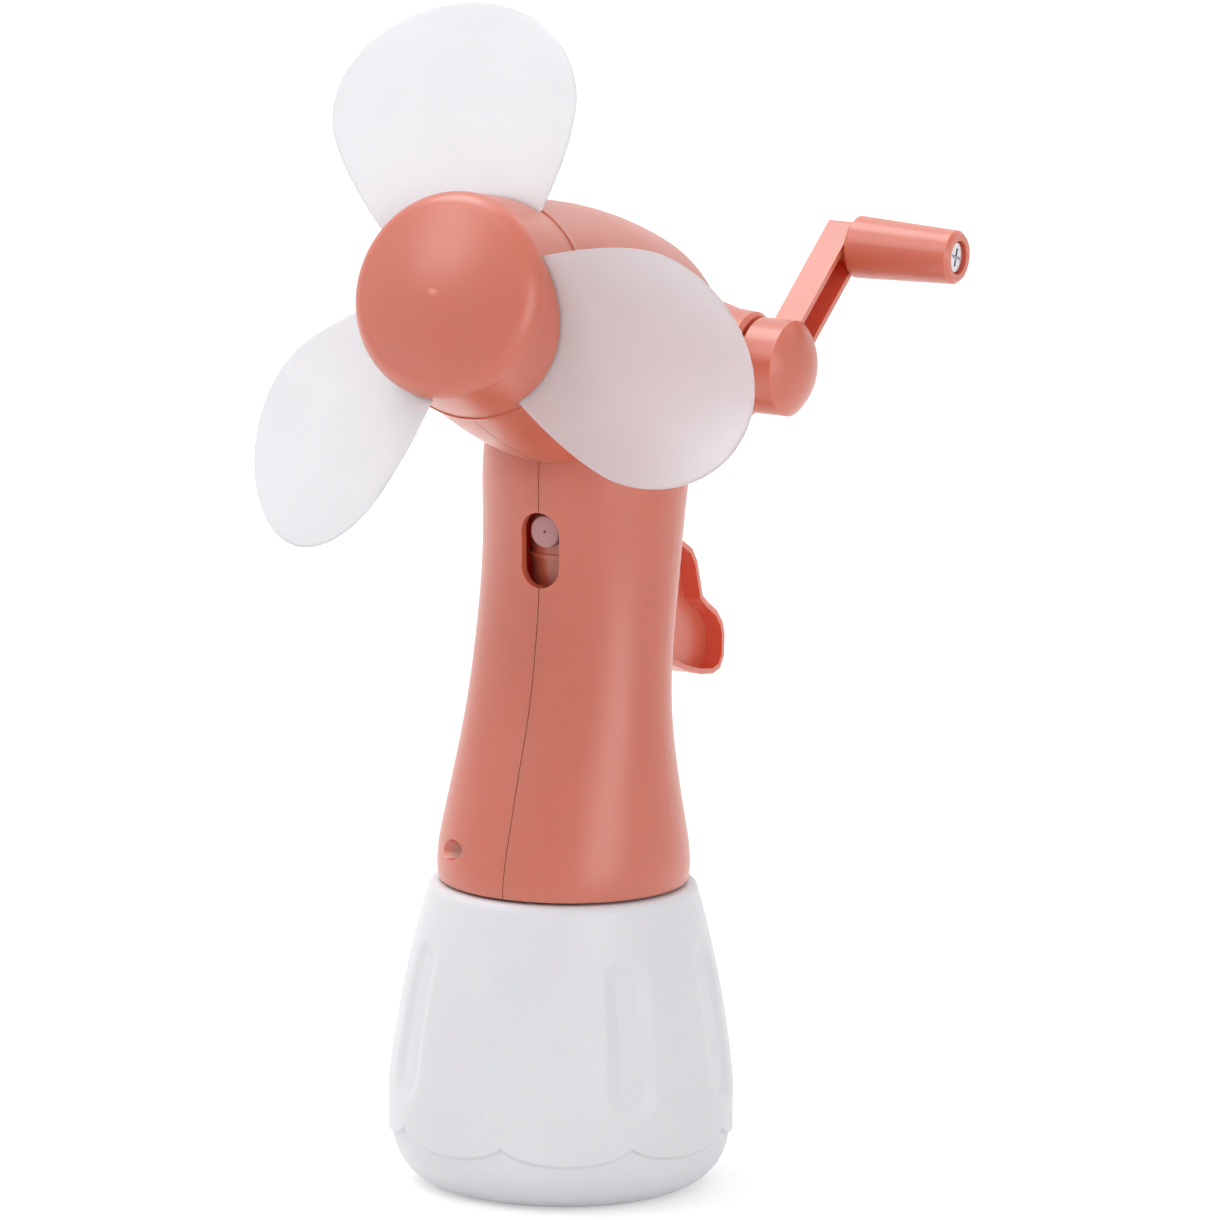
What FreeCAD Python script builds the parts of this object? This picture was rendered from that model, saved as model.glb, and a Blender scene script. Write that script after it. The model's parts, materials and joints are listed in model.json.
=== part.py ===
import FreeCAD, Part
import math
import os

from FreeCAD import Placement, Rotation
from FreeCAD import Vector as V

# Hand cranked misting fan, in millimetres, +Z up.
# The origin is the centre of the bottle's flat base. The fan looks towards -Y,
# the crank is on the +X side and the trigger is at the back, towards +Y.
# Each sub-part has its own function, and one STEP file in parts/.

X_AXIS = V(1, 0, 0)
Y_AXIS = V(0, 1, 0)
Z_AXIS = V(0, 0, 1)
FAR = 200.0                 # longer than any cut through the object

# ---- driving dimensions ------------------------------------------------------

# Bottle: blow moulded, and also the foot that the fan stands on.
BASE_R = 23.4               # flat ring that touches the table
BOTTLE_R = 34.4             # widest radius
BOTTLE_WIDE_Z = (12.0, 21.0)
BOTTLE_TOP_R = 27.0
BOTTLE_TOP_Z = 59.5
BOTTLE_SHOULDER_Z = 61.4
BOTTLE_SHOULDER_R = 25.4
BOTTLE_WALL = 1.6
FLUTES = 8                  # upright hollows round the belly
FLUTE_AZIMUTH = 8.5         # degrees from the front (-Y) towards +X
FLUTE_WIDTH = 10.4
FLUTE_Z = (18.5, 50.5)
FLUTE_DEPTH = 0.9
SCALLOP_STEP = 0.8          # how far the foot steps in under the scalloped skirt
SCALLOP_LOW_Z = 10.5
SCALLOP_RISE = 3.2

# Bottle neck and its screw joint in the collar.
NECK_R = 11.6
NECK_BORE_R = 9.6
NECK_TOP_Z = 78.0
THREAD_R = 12.9             # over the thread's crest
THREAD_PITCH = 3.0
THREAD_TURNS = 2.0
THREAD_Z = 68.5
SEAL_THICKNESS = 1.2

# Housing: two shells that meet at X = 0. Sections of the grip, each with
# height, half width along X, half depth along Y and the centre's Y.
GRIP_SECTIONS = (
    (62.0, 24.9, 24.8, 0.0),
    (67.0, 25.3, 24.6, 0.1),
    (75.0, 24.3, 22.6, 0.3),
    (85.0, 22.7, 20.0, 0.8),
    (97.0, 21.3, 17.0, 1.8),
    (110.0, 20.6, 16.2, 3.6),
    (122.0, 20.4, 16.9, 5.6),
    (135.0, 20.6, 18.4, 6.9),
    (147.0, 20.9, 20.0, 8.2),
    (154.0, 20.4, 19.2, 9.6),
)
WALL = 2.0
SEAM = 0.2                  # gap between the two shells
TONGUE = 0.8                # lip behind the seam

# Head: a bulb turned about the fan's axis, which tilts up towards the front.
TILT = 18.5
CRANK_Y = 10.5
CRANK_Z = 167.6             # the crank's axis crosses the fan's axis here
HEAD_BACK_R = 25.2          # round back of the head
HEAD_R = 25.8               # widest radius
HEAD_WIDE_S = 10.5          # stations are measured along the fan's axis
HEAD_ARC_R = 154.5          # gentle curve of its side
HEAD_FRONT_S = 45.0
COLLAR_R = 10.4             # round collar that carries the crank's bush
COLLAR_ROOT_R = 12.5
COLLAR_END_X = 36.2

# Fan.
HUB_BACK_S = 46.3
HUB_FACE_S = 47.9
HUB_CREASE_S = 64.5
HUB_DOME = 5.0
HUB_R = 22.0
HUB_FRONT_R = 20.6
HUB_WALL = 1.6
HUB_ROUND = 3.4             # rounding between the hub's side and its dome
BLADES = 3
BLADE_AZIMUTH = 105.7       # degrees, first blade, from +X towards the top
BLADE_CENTRE_R = 39.1       # where the petal is widest
BLADE_TIP_LENGTH = 23.1     # from there to its tip
BLADE_HALF_WIDTH = 22.4
BLADE_NARROWING = 0.80      # share of the width lost from there to the axis
BLADE_FLANK_POWER = 1.55
BLADE_SKEW = 0.034
BLADE_S = 53.2
BLADE_SWEEP = -0.21         # the blades lean back by this much per mm outwards
BLADE_PITCH = (22.0, 20.9)  # degrees at the root and at the tip
BLADE_CAMBER = 2.9          # bow of the blade at its half width
BLADE_THICKNESS = 1.1
BLADE_ROOT_R = 17.0         # the root ends inside the hub's wall

# Gear train: crank gear, transfer gear (pinion and crown) and fan pinion.
MODULE = 0.8
PRESSURE_ANGLE = math.radians(20.0)
CRANK_TEETH = 42
PINION_TEETH = 10
CROWN_TEETH = 30
ADDENDUM = 0.8              # in modules
DEDENDUM = 1.2
TOOTH_FRACTION = 0.40       # of the circular pitch, so the mesh has play
CROWN_FACE = 2.5
GEAR_X = (8.0, 11.0)

# Shafts and bushes. A running fit has this much radial clearance.
RUNNING = 0.05
SEAT = 0.02                 # clearance of a piece that stays put in its seat
CRANK_SHAFT_R = 2.5
FAN_SHAFT_R = 1.5
PIN_R = 1.5
BUSH_R = 4.2
REAR_BUSH_R = 3.0

# Crank.
BOSS_R = 9.5
BOSS_X = (36.8, 44.4)
BOSS_DOME = 4.0
ARM_ANGLE = 54.1            # degrees from upright, leaning back
ARM_X = (37.6, 43.5)
ARM_WIDTH = 7.8
ARM_WALL = 1.2
ARM_END = 37.7
CRANK_THROW = 34.2
KNOB_ROOT_R = 6.2           # the knob tapers from the arm to its end
KNOB_R = 5.35
KNOB_X = (43.9, 66.7)
KNOB_RECESS_R = 3.4
KNOB_RECESS = 2.5

# Mist pump, upright on the bottle's axis behind the front slot.
SLOT_WIDTH = 8.5
SLOT_Z = (122.4, 137.7)
NOZZLE_R = 3.25
NOZZLE_FACE_Y = -9.2
NOZZLE_BACK_Y = -3.0
NOZZLE_Z = SLOT_Z[1] - SLOT_WIDTH / 2
HEAD_CAP_R = 7.3
CAP_CORE_R = 3.4
HEAD_CAP_Z = (127.6, 138.6)
SKIRT_LOW_Z = 121.2         # the cap's skirt slides down over the barrel
BARREL_R = 5.4
BARREL_Z = (96.0, 123.6)
BARREL_BORE_R = 3.75
BARREL_FLOOR_Z = 98.0
FLANGE_R = 8.5
FLANGE_Z = (113.0, 115.0)
PISTON_Z = (105.0, 109.5)
STEM_R = 2.0
STEM_BORE_R = 0.7
SPRING_R = 2.6
SPRING_WIRE_R = 0.35
SPRING_COILS = 4
TUBE_R = 1.9
TUBE_BORE_R = 1.2

# Trigger: a lever that pivots above the pump and bears on the pump's cap.
PIVOT = (-10.8, 154.2)      # Y and Z
TRIGGER_HALF = 4.5
TRIGGER_RIM = 1.1
TRIGGER_WEB = 1.6
PAD = (6.0, 140.3)          # Y and Z of the rounded pad that presses the cap
PAD_R = 1.6
TRIGGER_SLOT_Z = (102.5, 138.4)

# Screws that hold the two shells together, along X, at these Y and Z.
SCREW_SPOTS = (
    (-19.2, 69.2), (19.2, 69.2), (12.4, 97.0),
    (30.3, 160.3), (-17.5, 194.5), (-29.1, 162.5),
)
SCREW_SEAT_X = -4.6
SCREW_SHANK_R = 1.1
SCREW_HEAD_R = 2.0
SCREW_RECESS_R = 2.1
POST_R = 2.6

# ---- frames ------------------------------------------------------------------

TILT_RAD = math.radians(TILT)
AXES_MEET = V(0, CRANK_Y, CRANK_Z)
FAN_DIR = V(0, -math.cos(TILT_RAD), math.sin(TILT_RAD))
FAN_UP = V(0, math.sin(TILT_RAD), math.cos(TILT_RAD))

# Built along local +Z and then turned into place:
FAN_FRAME = Placement(AXES_MEET, Rotation(X_AXIS, 90.0 - TILT))
CRANK_FRAME = Placement(AXES_MEET, Rotation(FAN_DIR, -FAN_UP, X_AXIS, "ZXY"))

PITCH_R = MODULE * PINION_TEETH / 2
CRANK_PITCH_R = MODULE * CRANK_TEETH / 2
CROWN_PITCH_R = MODULE * CROWN_TEETH / 2
IDLER_S = CRANK_PITCH_R + PITCH_R
IDLER_FRAME = Placement(AXES_MEET + FAN_DIR * IDLER_S, CRANK_FRAME.Rotation)
ARM_DIR = V(0, math.sin(math.radians(ARM_ANGLE)), math.cos(math.radians(ARM_ANGLE)))
KNOB_CENTRE = AXES_MEET + ARM_DIR * CRANK_THROW


def placed(shape, frame):
    """A copy of shape, moved from the local frame to its place."""
    moved = shape.copy()
    moved.Placement = frame.multiply(moved.Placement)
    return moved


# ---- small builders ----------------------------------------------------------

def rod(radius, low, high, centre=(0.0, 0.0)):
    """Cylinder along local Z between two heights."""
    return Part.makeCylinder(radius, high - low, V(centre[0], centre[1], low))


def ring(outer, inner, low, high):
    """Tube along local Z."""
    return rod(outer, low, high).cut(rod(inner, low, high))


def rod_x(radius, low, high, y, z):
    """Cylinder along X between two places."""
    return Part.makeCylinder(radius, high - low, V(low, y, z), X_AXIS)


def block(low, high):
    """Box between two corners."""
    size = V(*high) - V(*low)
    return Part.makeBox(size.x, size.y, size.z, V(*low))


def turned(edges):
    """Solid of revolution about Z of a closed outline in the XZ plane."""
    face = Part.Face(Part.Wire(edges))
    return face.revolve(V(0, 0, 0), Z_AXIS, 360.0)


def line(a, b):
    """Straight outline edge between two (radius, height) points."""
    return Part.LineSegment(V(a[0], 0, a[1]), V(b[0], 0, b[1])).toShape()


def arc(a, b, c):
    """Round outline edge through three (radius, height) points."""
    return Part.Arc(V(a[0], 0, a[1]), V(b[0], 0, b[1]), V(c[0], 0, c[1])).toShape()


def dome_middle(radius, height, top):
    """Point half way up the arc of a ball cap of that radius and height."""
    ball_r = (radius ** 2 + height ** 2) / (2 * height)
    half = math.asin(radius / ball_r) / 2
    return (ball_r * math.sin(half), top - ball_r * (1 - math.cos(half)))


def polyline(points):
    """Straight outline edges through (radius, height) points."""
    return [line(a, b) for a, b in zip(points, points[1:])]


def side_plate(points, half_width):
    """Plate of constant width about X = 0, from an outline of (Y, Z) points."""
    corners = [V(-half_width, y, z) for y, z in points]
    face = Part.Face(Part.makePolygon(corners + corners[:1]))
    return face.extrude(V(2 * half_width, 0, 0))


def fuse_all(shapes):
    """One solid from overlapping ones."""
    result = shapes[0]
    if len(shapes) > 1:
        result = result.fuse(shapes[1:])
    return result.removeSplitter()


def cut_all(shape, tools):
    """The shape without the tools."""
    return shape.cut(tools).removeSplitter()


# ---- bottle ------------------------------------------------------------------

def side_arc_middle():
    """Radius and height of the middle of the bottle's curved side."""
    return ((BOTTLE_R + BOTTLE_TOP_R) / 2 + 0.9, (BOTTLE_WIDE_Z[1] + BOTTLE_TOP_Z) / 2)


def bottle_skin(inset, foot_inset=0.0):
    """Solid inside the bottle's outer surface, moved inwards by inset."""
    foot = inset + foot_inset
    floor_z = inset
    wide_low, wide_high = BOTTLE_WIDE_Z
    foot_high = SCALLOP_LOW_Z + SCALLOP_RISE + 1.0
    middle = side_arc_middle()
    corner = BOTTLE_R - BASE_R
    bend = corner * math.sin(math.pi / 4)
    rise = wide_low * (1 - math.cos(math.pi / 4))
    edges = [line((0, floor_z), (BASE_R - foot, floor_z))]
    edges.append(arc((BASE_R - foot, floor_z), (BASE_R + bend - foot, floor_z + rise * 0.93),
                     (BOTTLE_R - foot, wide_low)))
    side_low = (BOTTLE_R - inset, wide_low)
    if foot_inset > 0.0:
        side_low = (BOTTLE_R - inset, foot_high + foot_inset)
        edges.append(line((BOTTLE_R - foot, wide_low), (BOTTLE_R - foot, foot_high)))
        edges.append(line((BOTTLE_R - foot, foot_high), side_low))
    edges.append(line(side_low, (BOTTLE_R - inset, wide_high)))
    edges.append(arc((BOTTLE_R - inset, wide_high), (middle[0] - inset, middle[1]),
                     (BOTTLE_TOP_R - inset, BOTTLE_TOP_Z)))
    edges.append(line((BOTTLE_TOP_R - inset, BOTTLE_TOP_Z),
                      (BOTTLE_SHOULDER_R - inset, BOTTLE_SHOULDER_Z - inset)))
    edges.append(line((BOTTLE_SHOULDER_R - inset, BOTTLE_SHOULDER_Z - inset),
                      (0, BOTTLE_SHOULDER_Z - inset)))
    edges.append(line((0, BOTTLE_SHOULDER_Z - inset), (0, floor_z)))
    return turned(edges)


def scallop_zone():
    """Space below the scalloped hem of the bottle's skirt."""
    zone = ring(BOTTLE_R + 10.0, BASE_R - 8.0, -5.0, SCALLOP_LOW_Z + SCALLOP_RISE + 0.5)
    half_lobe = math.pi * BOTTLE_R / FLUTES
    lobe_r = (half_lobe ** 2 + SCALLOP_RISE ** 2) / (2 * SCALLOP_RISE)
    lobes = []
    for k in range(FLUTES):
        azimuth = math.radians(FLUTE_AZIMUTH + (k + 0.5) * 360.0 / FLUTES)
        outwards = V(math.sin(azimuth), -math.cos(azimuth), 0)
        start = outwards * 10.0 + V(0, 0, SCALLOP_LOW_Z + lobe_r)
        lobes.append(Part.makeCylinder(lobe_r, 45.0, start, outwards))
    return zone.cut(lobes)


def side_radius(z):
    """Outer radius of the bottle's curved side at a height."""
    edge = arc((BOTTLE_R, BOTTLE_WIDE_Z[1]), side_arc_middle(), (BOTTLE_TOP_R, BOTTLE_TOP_Z))
    circle = edge.Curve
    centre_r = circle.Center.x
    centre_z = circle.Center.z
    return centre_r + math.sqrt(circle.Radius ** 2 - (z - centre_z) ** 2)


def flute(k):
    """Soft upright hollow in the bottle's belly, as a solid to cut away."""
    azimuth = FLUTE_AZIMUTH + k * 360.0 / FLUTES
    half_width = FLUTE_WIDTH / 2
    # A round bar that cuts the flute's width out of the round belly.
    bar_r = 1.0 / (2 * FLUTE_DEPTH / half_width ** 2 - 1.0 / BOTTLE_R)
    end_length = math.sqrt(2 * bar_r * FLUTE_DEPTH)
    low = FLUTE_Z[0] + end_length
    high = FLUTE_Z[1] - end_length
    # The bar leans back with the side, whose radius shrinks upwards.
    low_r = side_radius(low)
    lean = math.atan2(low_r - side_radius(high), high - low)
    bar = Part.makeCylinder(bar_r, high - low, V(0, 0, low))
    ends = [Part.makeSphere(bar_r, V(0, 0, z)) for z in (low, high)]
    tool = bar.fuse(ends)
    tool.rotate(V(0, 0, low), X_AXIS, math.degrees(-lean))
    tool.translate(V(0, -(low_r + bar_r - FLUTE_DEPTH), 0))
    tool.rotate(V(0, 0, 0), Z_AXIS, azimuth)
    return tool


def screw_thread():
    """Raised helical thread on the bottle's neck."""
    height = THREAD_PITCH * THREAD_TURNS
    root_r = NECK_R - 0.3
    helix = Part.makeHelix(THREAD_PITCH, height, root_r)
    helix.translate(V(0, 0, THREAD_Z))
    profile = [(root_r, -0.95), (THREAD_R, -0.35), (THREAD_R, 0.35), (root_r, 0.95)]
    corners = [V(r, 0, THREAD_Z + z) for r, z in profile]
    section = Part.makePolygon(corners + corners[:1])
    return Part.Wire(helix).makePipeShell([section], True, True)


def bottle():
    outer = bottle_skin(0.0)
    foot_ring = scallop_zone().cut(bottle_skin(0.0, SCALLOP_STEP))
    outer = outer.cut(foot_ring)
    outer = outer.cut([flute(k) for k in range(FLUTES)])
    neck = rod(NECK_R, BOTTLE_SHOULDER_Z - 1.0, NECK_TOP_Z)
    inside = bottle_skin(BOTTLE_WALL, SCALLOP_STEP + 0.3)
    bore = rod(NECK_BORE_R, BOTTLE_SHOULDER_Z - 3.0, NECK_TOP_Z + 1.0)
    hollow = outer.fuse(neck).cut(inside).cut(bore)
    return fuse_all([hollow, screw_thread()])


def bottle_seal():
    return ring(12.4, NECK_BORE_R, NECK_TOP_Z, NECK_TOP_Z + SEAL_THICKNESS)


def bottle_collar():
    """Screw collar, held between ribs of the two shells."""
    roof = NECK_TOP_Z + SEAL_THICKNESS
    body = ring(15.5, THREAD_R + 0.3, 65.0, roof)
    plate = rod(15.5, roof, roof + 2.0)
    flange = ring(17.4, 15.0, roof - 1.0, roof + 1.4)
    spigot = rod(5.6, roof + 2.0, roof + 5.0)
    grommet_seat = rod(4.0 + SEAT, roof + 1.0, roof + 6.0)
    hole = rod(TUBE_R + 0.3, roof - 1.0, roof + 2.0)
    return cut_all(fuse_all([body, plate, flange, spigot]), [grommet_seat, hole])


def tube_grommet():
    roof = NECK_TOP_Z + SEAL_THICKNESS
    return ring(4.0, TUBE_R + SEAT, roof + 1.0, roof + 5.6)


# ---- housing -----------------------------------------------------------------

def grip_solid(inset):
    """Loft through the grip's sections, moved inwards by inset."""
    wires = []
    for z, half_width, half_depth, centre_y in GRIP_SECTIONS:
        ellipse = Part.Ellipse(V(0, centre_y, z), half_width - inset, half_depth - inset)
        wires.append(Part.Wire(ellipse.toShape()))
    return Part.makeLoft(wires, True, False)


def head_solid(inset, front_s):
    """The head's bulb about the fan's axis, moved inwards by inset."""
    back_r = HEAD_BACK_R - inset
    arc_r = HEAD_ARC_R - inset
    arc_centre_r = HEAD_R - HEAD_ARC_R
    between = HEAD_ARC_R - HEAD_BACK_R
    back_s = HEAD_WIDE_S - math.sqrt(between ** 2 - arc_centre_r ** 2)
    join_angle = math.atan2(HEAD_WIDE_S - back_s, -arc_centre_r)
    join = (arc_centre_r + arc_r * math.cos(join_angle),
            HEAD_WIDE_S - arc_r * math.sin(join_angle))
    back_mid = (back_r * math.sin(math.pi / 4), back_s - back_r * math.cos(math.pi / 4))
    front = (arc_centre_r + math.sqrt(arc_r ** 2 - (front_s - HEAD_WIDE_S) ** 2), front_s)
    side_mid = (arc_centre_r + arc_r, HEAD_WIDE_S)
    edges = [
        arc((0, back_s - back_r), back_mid, join),
        arc(join, side_mid, front),
        line(front, (0, front_s)),
        line((0, front_s), (0, back_s - back_r)),
    ]
    return placed(turned(edges), FAN_FRAME)


def crank_collar():
    """Round collar on the head's +X side."""
    edges = polyline([(0, 8.0), (COLLAR_ROOT_R + 0.6, 8.0), (COLLAR_ROOT_R, 24.0),
                      (COLLAR_R + 0.3, 31.0), (COLLAR_R, COLLAR_END_X - 0.8),
                      (COLLAR_R - 0.8, COLLAR_END_X), (0, COLLAR_END_X), (0, 8.0)])
    return placed(turned(edges), CRANK_FRAME)


def capsule_cut(half_width, low, high, y_from, y_to):
    """Upright slot with round ends, cut along Y."""
    depth = y_to - y_from
    parts = [block((-half_width, y_from, low + half_width), (half_width, y_to, high - half_width))]
    for z in (low + half_width, high - half_width):
        parts.append(Part.makeCylinder(half_width, depth, V(0, y_from, z), Y_AXIS))
    return fuse_all(parts)


def screw_post(y, z):
    return rod_x(POST_R, -FAR / 4, FAR / 4, y, z)


def rib_stock():
    """Every inner rib and boss, still longer than the housing is wide."""
    roof = NECK_TOP_Z + SEAL_THICKNESS
    ribs = [screw_post(y, z) for y, z in SCREW_SPOTS]
    # Rings above and below the collar's flange and the pump's flange.
    ribs.append(ring(40.0, 15.7, roof - 3.4, roof - 1.1))
    ribs.append(ring(40.0, 15.7, roof + 1.5, roof + 3.5))
    ribs.append(ring(40.0, BARREL_R + 0.3, FLANGE_Z[0] - 2.1, FLANGE_Z[0] - 0.1))
    ribs.append(ring(40.0, BARREL_R + 0.3, FLANGE_Z[1] + 0.1, FLANGE_Z[1] + 2.1))
    # Bosses on the trigger's pin.
    pivot_y, pivot_z = PIVOT
    for side in (-1, 1):
        near, far = sorted((side * 5.0, side * FAR / 4))
        ribs.append(rod_x(3.4, near, far, pivot_y, pivot_z))
    # Posts under the crank's left bush and on both ends of the idler pin.
    ribs.append(rod_x(6.2, -FAR / 4, -9.0, CRANK_Y, CRANK_Z))
    idler = AXES_MEET + FAN_DIR * IDLER_S
    ribs.append(rod_x(4.0, -FAR / 4, -1.2, idler.y, idler.z))
    ribs.append(rod_x(4.0, 12.3, FAR / 4, idler.y, idler.z))
    # Ring round the fan's front bush.
    ribs.append(placed(rod(6.6, 39.5, HEAD_FRONT_S), FAN_FRAME))
    return ribs


def rear_bush_eye():
    """Arm of the left shell that holds the fan shaft's rear bush."""
    eye = rod(4.5, 25.2, 28.8)
    arm = block((-FAR / 4, -3.2, 25.2), (0, 3.2, 28.8))
    return placed(eye.fuse(arm), FAN_FRAME)


def housing_cuts():
    """Every hole, slot and seat in the housing."""
    cuts = []
    cuts.append(capsule_cut(SLOT_WIDTH / 2, SLOT_Z[0], SLOT_Z[1], -30.0, -4.0))
    slot = block((-TRIGGER_HALF - 0.6, 9.4, TRIGGER_SLOT_Z[0]),
                 (TRIGGER_HALF + 0.6, 60.0, TRIGGER_SLOT_Z[1]))
    corners = [e for e in slot.Edges if abs(e.tangentAt(e.FirstParameter).y) > 0.9]
    cuts.append(slot.makeFillet(2.0, corners))
    cuts.append(rod_x(CRANK_SHAFT_R + 0.5, 0.0, 60.0, CRANK_Y, CRANK_Z))
    cuts.append(rod_x(BUSH_R + SEAT, 30.0, 60.0, CRANK_Y, CRANK_Z))
    cuts.append(rod_x(BUSH_R + SEAT, -14.6, 0.0, CRANK_Y, CRANK_Z))
    idler = AXES_MEET + FAN_DIR * IDLER_S
    cuts.append(rod_x(PIN_R + SEAT, -8.1, 17.1, idler.y, idler.z))
    cuts.append(rod_x(PIN_R + SEAT, -12.1, 12.1, PIVOT[0], PIVOT[1]))
    cuts.append(placed(rod(BUSH_R + SEAT, 39.4, 60.0), FAN_FRAME))
    cuts.append(placed(rod(REAR_BUSH_R + SEAT, 24.0, 30.0), FAN_FRAME))
    for y, z in SCREW_SPOTS:
        cuts.append(rod_x(SCREW_RECESS_R, -40.0, SCREW_SEAT_X, y, z))
        cuts.append(rod_x(SCREW_SHANK_R + 0.2, -10.0, 0.0, y, z))
        cuts.append(rod_x(SCREW_SHANK_R + SEAT, 0.0, 7.1, y, z))
    return cuts


def housing_shells():
    """The left and the right shell."""
    outer = fuse_all([grip_solid(0.0), head_solid(0.0, HEAD_FRONT_S), crank_collar()])
    inner = fuse_all([grip_solid(WALL), head_solid(WALL, HEAD_FRONT_S - WALL)])
    below = block((-40, -40, 50), (40, 40, GRIP_SECTIONS[0][0] + 0.01))
    cavity = inner.fuse(below)
    collar_core = crank_collar().common(block((23.0, -40, 100), (60, 60, 220)))
    walls = outer.cut(cavity).fuse(collar_core)
    ribs = fuse_all(rib_stock()).common(outer.cut(below))
    eye = rear_bush_eye().common(outer)
    full = walls.fuse(ribs)

    left_half = block((-FAR, -FAR, 0), (-SEAM / 2, FAR, 2 * FAR))
    right_half = block((SEAM / 2, -FAR, 0), (FAR, FAR, 2 * FAR))
    tongue_outer = fuse_all([grip_solid(WALL + 0.06),
                             head_solid(WALL + 0.06, HEAD_FRONT_S - WALL - 0.06)])
    tongue_inner = fuse_all([grip_solid(WALL + TONGUE),
                             head_solid(WALL + TONGUE, HEAD_FRONT_S - WALL - TONGUE)])
    strip = block((-1.2, -FAR, GRIP_SECTIONS[0][0] + 1.0), (1.4, FAR, 2 * FAR))
    tongue = tongue_outer.cut(tongue_inner).common(strip)
    tongue = tongue.cut(rib_stock() + [rear_bush_eye()])
    cuts = housing_cuts()
    left = full.common(left_half).fuse(eye)
    left = left.cut(cuts)
    right = full.common(right_half).fuse(tongue).cut(cuts)
    return largest(left), largest(right)


def largest(shape):
    """The biggest solid of a result, without loose crumbs."""
    return max(shape.Solids, key=lambda solid: solid.Volume)


def shell_screws():
    """Pan head screws along X, as one group."""
    screws = []
    for y, z in SCREW_SPOTS:
        head = rod_x(SCREW_HEAD_R, SCREW_SEAT_X - 1.6, SCREW_SEAT_X, y, z)
        shank = rod_x(SCREW_SHANK_R, SCREW_SEAT_X, 7.0, y, z)
        slot_z = block((SCREW_SEAT_X - 2, y - 0.3, z - 1.3), (SCREW_SEAT_X - 0.8, y + 0.3, z + 1.3))
        slot_y = block((SCREW_SEAT_X - 2, y - 1.3, z - 0.3), (SCREW_SEAT_X - 0.8, y + 1.3, z + 0.3))
        screws.append(cut_all(fuse_all([head, shank]), [slot_z, slot_y]))
    return Part.Compound(screws)


def trigger_pin():
    return rod_x(PIN_R, -12.0, 12.0, PIVOT[0], PIVOT[1])


def idler_pin():
    idler = AXES_MEET + FAN_DIR * IDLER_S
    return rod_x(PIN_R, -8.0, 17.0, idler.y, idler.z)


# ---- mist pump ---------------------------------------------------------------

def pump_barrel():
    low, high = BARREL_Z
    body = rod(BARREL_R, low, high)
    flange = rod(FLANGE_R, *FLANGE_Z)
    tail = rod(3.2, low - 8.0, low)
    bore = rod(BARREL_BORE_R, BARREL_FLOOR_Z, high + 1.0)
    inlet = rod(0.9, low - 3.5, high)
    seat = Part.makeCone(0.9, 2.0, 1.1, V(0, 0, BARREL_FLOOR_Z - 1.1))
    socket = rod(TUBE_R + SEAT, low - 9.0, low - 3.0)
    return cut_all(fuse_all([body, flange, tail]), [bore, inlet, seat, socket])


def pump_gland():
    """Guide pressed into the barrel's mouth, with the stem running in it."""
    top = BARREL_Z[1]
    plug = rod(BARREL_BORE_R - SEAT, top - 5.0, top)
    lid = rod(BARREL_R - 0.2, top, top + 0.8)
    return cut_all(fuse_all([plug, lid]), [rod(STEM_R + RUNNING, top - 6.0, top + 2.0)])


def inlet_ball():
    return Part.makeSphere(1.4, V(0, 0, BARREL_FLOOR_Z + 0.95))


def return_spring():
    """Coil spring between the barrel's floor and the piston."""
    low = BARREL_FLOOR_Z + SPRING_WIRE_R + 0.05
    high = PISTON_Z[0] - SPRING_WIRE_R - 0.05
    helix = Part.makeHelix((high - low) / SPRING_COILS, high - low, SPRING_R)
    helix.translate(V(0, 0, low))
    corners = []
    for k in range(8):
        angle = math.radians(22.5 + 45 * k)
        offset = V(math.cos(angle), 0, math.sin(angle)) * SPRING_WIRE_R
        corners.append(V(SPRING_R, 0, low) + offset)
    wire = Part.makePolygon(corners + corners[:1])
    return Part.Wire(helix).makePipeShell([wire], True, True)


def pump_piston():
    low, high = PISTON_Z
    cup = rod(BARREL_BORE_R - RUNNING, low, high)
    relief = ring(BARREL_BORE_R + 1.0, BARREL_BORE_R - 0.5, low + 1.2, high - 1.2)
    return cut_all(cup, [relief, rod(STEM_R + SEAT, low + 1.0, high + 1.0),
                         rod(STEM_BORE_R, low - 1.0, high)])


def pump_stem():
    low = PISTON_Z[0] + 1.0
    stem = rod(STEM_R, low, NOZZLE_Z + 1.6)
    channel = rod(STEM_BORE_R, low - 1.0, NOZZLE_Z)
    outlet = Part.makeCylinder(0.6, 5.0, V(0, 0, NOZZLE_Z - 0.2), -Y_AXIS)
    return cut_all(stem, [channel, outlet])


def rod_y(radius, start, end):
    """Round bar along Y through the nozzle's centre."""
    return Part.makeCylinder(radius, end - start, V(0, start, NOZZLE_Z), Y_AXIS)


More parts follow.
